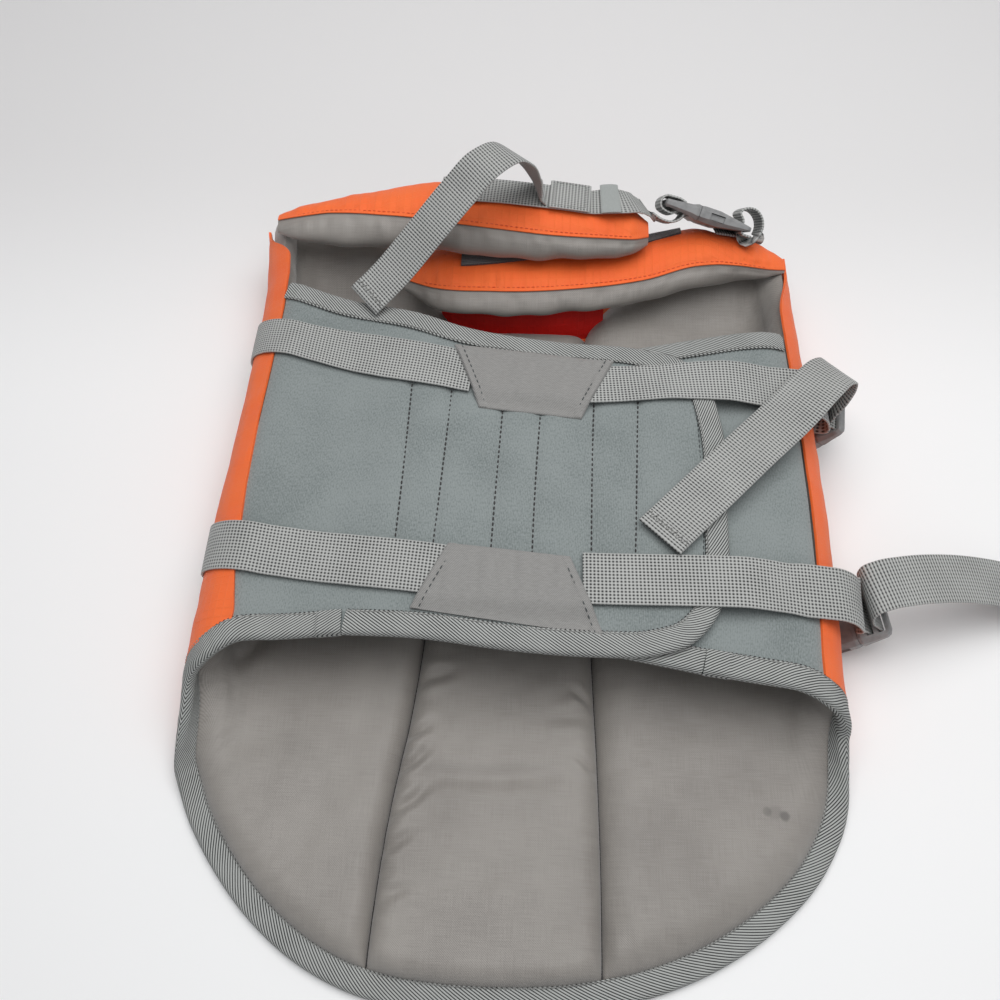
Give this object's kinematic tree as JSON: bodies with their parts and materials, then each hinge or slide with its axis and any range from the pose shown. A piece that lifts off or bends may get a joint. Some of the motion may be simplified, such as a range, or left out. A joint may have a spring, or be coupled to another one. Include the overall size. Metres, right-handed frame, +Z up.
{
  "type": "dog life jacket",
  "caption": "Padded dog life jacket laid on its back: round foam tail, belly flaps closed by webbing straps with side-release buckles, and two padded neck flaps buckled over the neck.",
  "frame": {"origin": "centre of the bounding box of the whole part, loose straps included, at the level of the surface that the jacket lies on", "axes": "+Z up from the surface; +Y from the round tail to the neck; +X to the right as seen from above with the neck pointing away, towards the buckles' side"},
  "size_m": [0.4978, 0.4696, 0.127],
  "materials": {
    "orange_nylon": "matt, tightly woven orange nylon",
    "grey_lining": "soft grey polyester with a slight sheen",
    "neoprene": "matt grey-green knit-faced neoprene",
    "binding": "grey herringbone tape",
    "webbing": "grey woven polyester webbing",
    "patch_nylon": "grey plain-weave nylon",
    "hook_and_loop": "dark grey hook-and-loop pile",
    "buckle_plastic": "satin grey acetal"
  },
  "bodies": {
    "root": {"back_shell": "orange_nylon", "side_shell_left": "orange_nylon", "side_shell_right": "orange_nylon", "back_pad_left": "grey_lining", "back_pad_middle": "grey_lining", "back_pad_right": "grey_lining", "belly_flap_left": "neoprene", "belly_flap_right": "neoprene", "tail_binding": "binding", "left_flap_binding": "binding", "right_flap_front_binding": "binding", "right_flap_rear_binding": "binding", "front_strap_left": "webbing", "rear_strap_left": "webbing", "front_strap_patch": "patch_nylon", "rear_strap_patch": "patch_nylon", "front_strap_right": "webbing", "rear_strap_right": "webbing", "front_buckle_plug": "buckle_plastic", "front_buckle_socket": "buckle_plastic", "front_buckle_anchor": "webbing", "rear_buckle_plug": "buckle_plastic", "rear_buckle_socket": "buckle_plastic", "rear_buckle_anchor": "webbing", "neck_buckle_plug": "buckle_plastic", "neck_buckle_socket": "buckle_plastic", "neck_buckle_anchor": "webbing", "neck_flap_left_cover": "orange_nylon", "neck_flap_left_lining": "grey_lining", "neck_flap_right_cover": "orange_nylon", "neck_flap_right_lining": "grey_lining", "neck_collar": "orange_nylon", "neck_hook_patch": "hook_and_loop", "neck_strap": "webbing", "neck_strap_patch": "webbing", "neck_strap_keeper": "binding", "neck_strap_tail": "webbing"}
  },
  "joints": []
}
